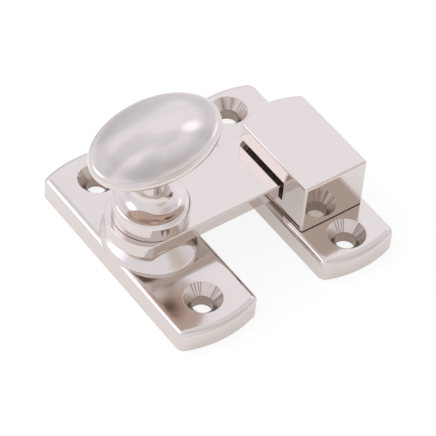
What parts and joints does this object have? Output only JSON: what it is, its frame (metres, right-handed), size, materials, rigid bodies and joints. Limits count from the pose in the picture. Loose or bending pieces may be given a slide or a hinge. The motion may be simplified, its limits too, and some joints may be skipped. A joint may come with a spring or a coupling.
{
  "type": "cupboard latch",
  "caption": "Cupboard turn latch: an oval knob on a slim plate turns a flat arm into a slotted keep block on a second plate.",
  "frame": {"origin": "where the knob's axis meets the plates' back faces, in the middle of the main plate's two screw holes", "axes": "+X along the closed arm from the knob to the keep, +Y to the side where the arm leaves the keep's slot, +Z out of the cupboard's face"},
  "size_m": [0.0599, 0.0542, 0.037],
  "materials": {
    "nickel_plate": "polished nickel",
    "nickel_arm": "polished nickel",
    "nickel_knob": "polished nickel",
    "nickel_block": "polished nickel",
    "steel": "turned, plain",
    "spring_steel": "hardened, plain"
  },
  "bodies": {
    "fixed": {"main_plate": "nickel_plate", "keep_plate": "nickel_plate", "keep_block": "nickel_block", "block_screw_front": "steel", "block_screw_back": "steel"},
    "turning": {"latch_arm": "nickel_arm", "knob": "nickel_knob", "spindle": "steel", "disc_spring": "spring_steel", "plain_washer": "steel", "retaining_screw": "steel"}
  },
  "joints": [
    {"name": "knob_turn", "type": "hinge", "parent": "fixed", "child": "turning", "pos_m": [0, 0, 0], "axis": [0, 0, 1], "range_deg": [0, 300]}
  ]
}
